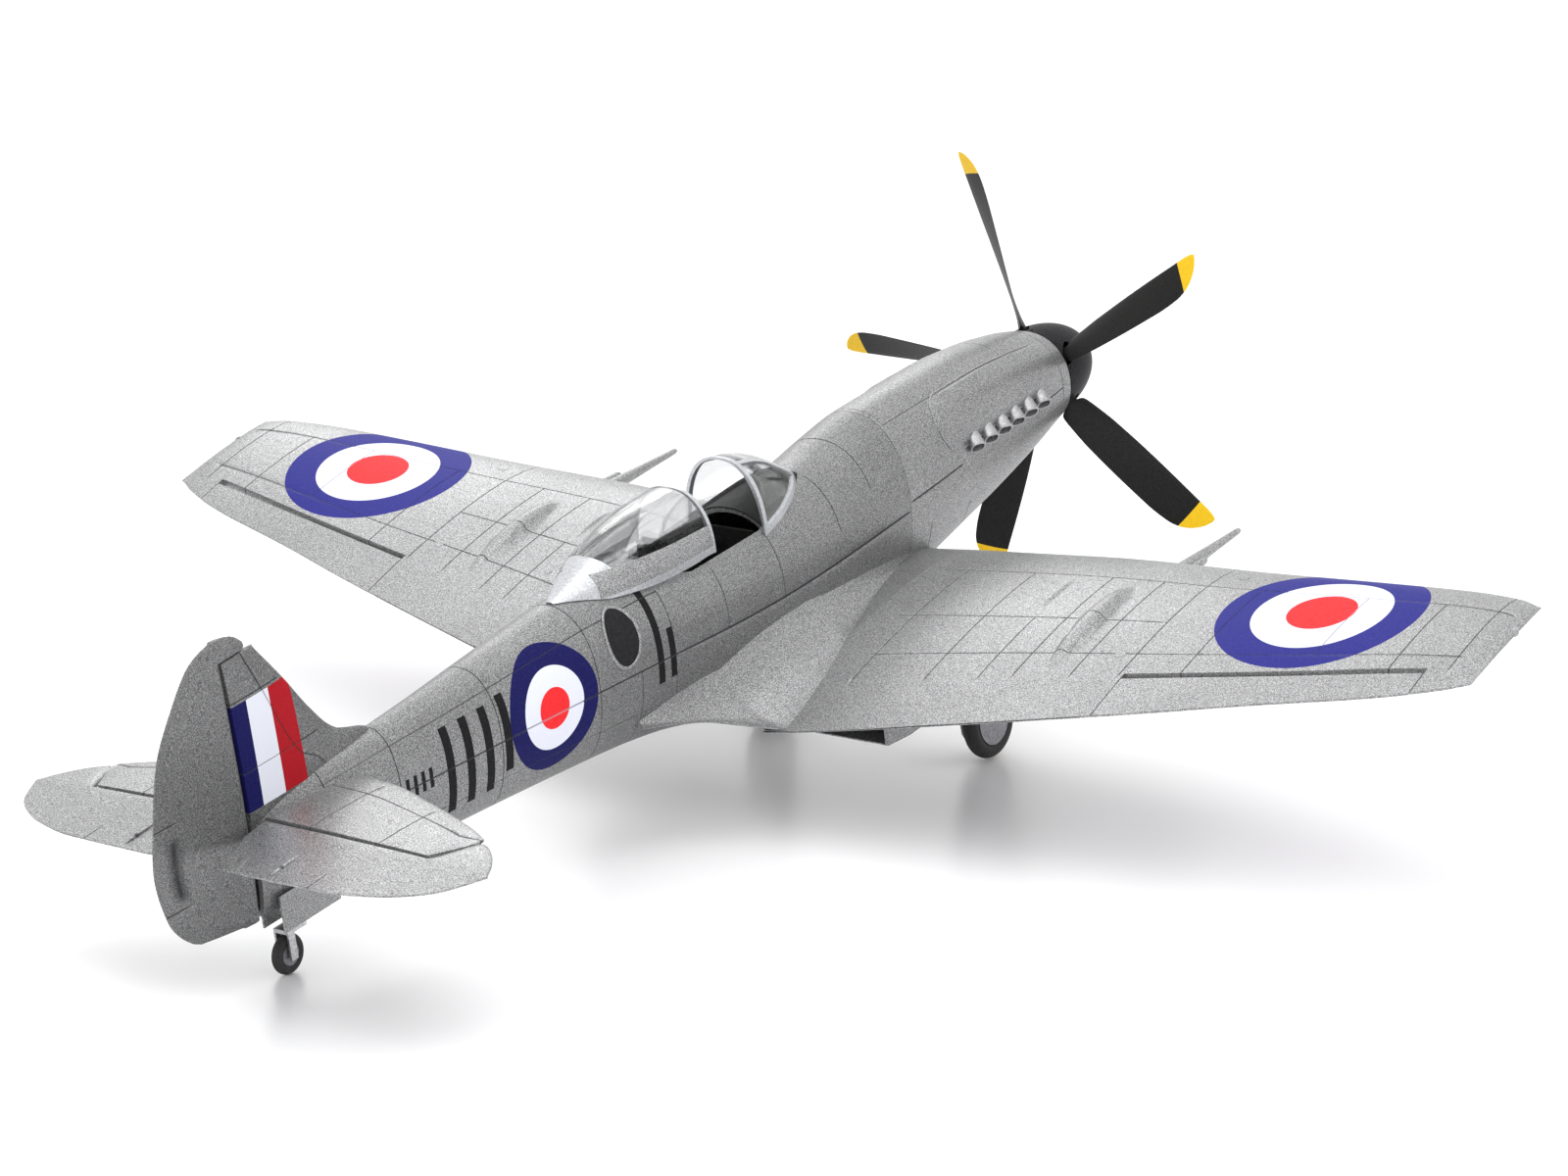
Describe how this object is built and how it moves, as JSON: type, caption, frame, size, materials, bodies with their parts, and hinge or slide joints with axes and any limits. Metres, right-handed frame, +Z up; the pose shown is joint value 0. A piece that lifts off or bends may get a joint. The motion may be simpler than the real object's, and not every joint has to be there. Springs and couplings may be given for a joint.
{
  "type": "radio-controlled warbird aeroplane",
  "caption": "Silver propeller-driven model fighter on its wheels, with sliding canopy, hinged control surfaces, split flaps and folding undercarriage.",
  "frame": {"origin": "on the ground plane under the middle of the aircraft's bounding box, wheels standing on Z = 0", "axes": "+X to the port wingtip, -Y to the nose, +Z up; the fuselage is pitched 9.55 degrees nose-up on its wheels"},
  "size_m": [1.1268, 1.06, 0.4153],
  "materials": {
    "silver_paint": "satin",
    "bare_metal_frame": "satin",
    "clear_glazing": "gloss",
    "exhaust_metal": "matte",
    "black_gloss": "gloss",
    "cockpit_dark": "matte",
    "plywood": "matte",
    "battery_wrap": "satin",
    "electronics_plastic": "matte",
    "servo_plastic": "matte",
    "steel": "satin",
    "motor_metal": "satin",
    "carbon": "satin",
    "tyre_rubber": "matte",
    "hub_metal": "satin",
    "lamp_glass": "gloss"
  },
  "bodies": {
    "airframe": {"fuselage_left": "silver_paint", "fuselage_right": "silver_paint", "nose_cowl": "silver_paint", "exhaust_stacks": "exhaust_metal", "plywood_frame": "plywood", "motor_stator": "motor_metal", "battery_pack": "battery_wrap", "speed_controller": "electronics_plastic", "receiver": "electronics_plastic", "servo_cases": "electronics_plastic", "wing_left": "silver_paint", "wing_right": "silver_paint", "wing_spars": "carbon", "radiator_housings": "silver_paint", "radiator_cores": "electronics_plastic", "cannon_barrels": "exhaust_metal", "wingtip_lights": "lamp_glass", "fin": "silver_paint", "tailplane": "silver_paint", "cockpit_tub": "cockpit_dark", "pilot_seat": "cockpit_dark", "instrument_panel": "cockpit_dark", "windscreen_frame": "bare_metal_frame", "windscreen_glass": "clear_glazing", "camera_port": "black_gloss", "retract_units": "electronics_plastic", "tail_wheel_doors": "silver_paint"},
    "propeller": {"propeller": "black_gloss", "spinner_cone": "black_gloss", "spinner_backplate": "black_gloss", "motor_rotor": "motor_metal"},
    "canopy": {"canopy_glass": "clear_glazing", "canopy_frame": "bare_metal_frame"},
    "battery_hatch": {"battery_hatch": "silver_paint"},
    "aileron_left": {"aileron_left": "silver_paint"},
    "aileron_right": {"aileron_right": "silver_paint"},
    "flap_left": {"flap_left": "silver_paint"},
    "flap_right": {"flap_right": "silver_paint"},
    "elevators": {"elevators": "silver_paint"},
    "rudder": {"rudder": "silver_paint"},
    "tail_wheel_strut": {"tail_wheel_strut": "steel"},
    "tail_wheel": {"tail_tyre": "tyre_rubber", "tail_hub": "hub_metal"},
    "elevator_arm": {"elevator_arm": "servo_plastic"},
    "elevator_pushrod": {"elevator_pushrod": "steel"},
    "rudder_arm": {"rudder_arm": "servo_plastic"},
    "rudder_pushrod": {"rudder_pushrod": "steel"},
    "aileron_arm_left": {"aileron_arm_left": "servo_plastic"},
    "aileron_pushrod_left": {"aileron_pushrod_left": "steel"},
    "gear_leg_left": {"gear_leg_left": "steel", "gear_door_left": "silver_paint"},
    "main_wheel_left": {"main_tyre_left": "tyre_rubber", "main_hub_left": "hub_metal"},
    "aileron_arm_right": {"aileron_arm_right": "servo_plastic"},
    "aileron_pushrod_right": {"aileron_pushrod_right": "steel"},
    "gear_leg_right": {"gear_leg_right": "steel", "gear_door_right": "silver_paint"},
    "main_wheel_right": {"main_tyre_right": "tyre_rubber", "main_hub_right": "hub_metal"}
  },
  "joints": [
    {"name": "propeller_spin", "type": "hinge", "parent": "airframe", "child": "propeller", "pos_m": [0, -0.47186, 0.24319], "axis": [0, -0.9861, 0.1659], "continuous": true},
    {"name": "canopy_slide", "type": "slide", "parent": "airframe", "child": "canopy", "axis": [0, -0.9861, 0.1659], "range_m": [0, 0.057]},
    {"name": "hatch_lift", "type": "slide", "parent": "airframe", "child": "battery_hatch", "axis": [0, 0.1659, 0.9861], "range_m": [0, 0.045]},
    {"name": "aileron_left_hinge", "type": "hinge", "parent": "airframe", "child": "aileron_left", "pos_m": [0.42, -0.0913, 0.14084], "axis": [0.9805, -0.1362, 0.1416], "range_deg": [-22, 22]},
    {"name": "aileron_right_hinge", "type": "hinge", "parent": "airframe", "child": "aileron_right", "pos_m": [-0.42, -0.0913, 0.14084], "axis": [0.9805, 0.1362, -0.1416], "range_deg": [-22, 22]},
    {"name": "aileron_servo_left", "type": "hinge", "parent": "airframe", "child": "aileron_arm_left", "pos_m": [0.3422, -0.13708, 0.14581], "axis": [0.9805, -0.1362, 0.1416], "range_deg": [-22, 22]},
    {"name": "aileron_rod_left", "type": "hinge", "parent": "aileron_arm_left", "child": "aileron_pushrod_left", "pos_m": [0.34365, -0.14105, 0.13194], "axis": [0.9805, -0.1362, 0.1416], "range_deg": [-22, 22]},
    {"name": "aileron_servo_right", "type": "hinge", "parent": "airframe", "child": "aileron_arm_right", "pos_m": [-0.3422, -0.13708, 0.14581], "axis": [0.9805, 0.1362, -0.1416], "range_deg": [-22, 22]},
    {"name": "aileron_rod_right", "type": "hinge", "parent": "aileron_arm_right", "child": "aileron_pushrod_right", "pos_m": [-0.34365, -0.14105, 0.13194], "axis": [0.9805, 0.1362, -0.1416], "range_deg": [-22, 22]},
    {"name": "flap_left_hinge", "type": "hinge", "parent": "airframe", "child": "flap_left", "pos_m": [0.076, -0.04609, 0.08269], "axis": [-0.9793, 0.1302, -0.155], "range_deg": [0, 60]},
    {"name": "flap_right_hinge", "type": "hinge", "parent": "airframe", "child": "flap_right", "pos_m": [-0.076, -0.04609, 0.08269], "axis": [-0.9793, -0.1302, 0.155], "range_deg": [0, 60]},
    {"name": "elevator_hinge", "type": "hinge", "parent": "airframe", "child": "elevators", "pos_m": [0.02, 0.44013, 0.10365], "axis": [1, 0, 0], "range_deg": [-22, 22]},
    {"name": "elevator_servo", "type": "hinge", "parent": "airframe", "child": "elevator_arm", "pos_m": [0.02, 0.0654, 0.16669], "axis": [1, 0, 0], "range_deg": [-22, 22]},
    {"name": "elevator_rod", "type": "hinge", "parent": "elevator_arm", "child": "elevator_pushrod", "pos_m": [0.02, 0.06307, 0.15289], "axis": [1, 0, 0], "range_deg": [-22, 22]},
    {"name": "rudder_hinge", "type": "hinge", "parent": "airframe", "child": "rudder", "pos_m": [0, 0.4483, 0.07388], "axis": [0, 0.1659, 0.9861], "range_deg": [-25, 25]},
    {"name": "rudder_servo", "type": "hinge", "parent": "airframe", "child": "rudder_arm", "pos_m": [0, 0.07357, 0.13692], "axis": [0, 0.1659, 0.9861], "range_deg": [-25, 25]},
    {"name": "rudder_rod", "type": "hinge", "parent": "rudder_arm", "child": "rudder_pushrod", "pos_m": [0.016, 0.07357, 0.13692], "axis": [0, 0.1659, 0.9861], "range_deg": [-25, 25]},
    {"name": "tail_wheel_steer", "type": "hinge", "parent": "airframe", "child": "tail_wheel_strut", "pos_m": [0, 0.40617, 0.04041], "axis": [0, 0.1659, 0.9861], "range_deg": [-25, 25]},
    {"name": "tail_wheel_roll", "type": "hinge", "parent": "tail_wheel_strut", "child": "tail_wheel", "pos_m": [0, 0.41361, 0.0135], "axis": [1, 0, 0], "continuous": true},
    {"name": "gear_retract_left", "type": "hinge", "parent": "airframe", "child": "gear_leg_left", "pos_m": [0.081, -0.23255, 0.13164], "axis": [0.0493, -0.947, 0.3174], "range_deg": [0, 92.74]},
    {"name": "wheel_roll_left", "type": "hinge", "parent": "gear_leg_left", "child": "main_wheel_left", "pos_m": [0.09862, -0.2497, 0.02968], "axis": [0.9973, 0.0122, 0.0722], "continuous": true},
    {"name": "gear_retract_right", "type": "hinge", "parent": "airframe", "child": "gear_leg_right", "pos_m": [-0.081, -0.23255, 0.13164], "axis": [0.0493, 0.947, -0.3174], "range_deg": [0, 92.74]},
    {"name": "wheel_roll_right", "type": "hinge", "parent": "gear_leg_right", "child": "main_wheel_right", "pos_m": [-0.09862, -0.2497, 0.02968], "axis": [0.9973, -0.0122, -0.0722], "continuous": true}
  ],
  "couplings": [
    {"joint": "aileron_right_hinge", "follows": "aileron_left_hinge", "ratio": -1},
    {"joint": "aileron_servo_left", "follows": "aileron_left_hinge", "ratio": 1},
    {"joint": "aileron_rod_left", "follows": "aileron_left_hinge", "ratio": -1},
    {"joint": "aileron_servo_right", "follows": "aileron_left_hinge", "ratio": -1},
    {"joint": "aileron_rod_right", "follows": "aileron_left_hinge", "ratio": 1},
    {"joint": "flap_right_hinge", "follows": "flap_left_hinge", "ratio": 1},
    {"joint": "elevator_servo", "follows": "elevator_hinge", "ratio": 1},
    {"joint": "elevator_rod", "follows": "elevator_hinge", "ratio": -1},
    {"joint": "rudder_servo", "follows": "rudder_hinge", "ratio": 1},
    {"joint": "rudder_rod", "follows": "rudder_hinge", "ratio": -1},
    {"joint": "tail_wheel_steer", "follows": "rudder_hinge", "ratio": 1},
    {"joint": "gear_retract_right", "follows": "gear_retract_left", "ratio": 1}
  ]
}
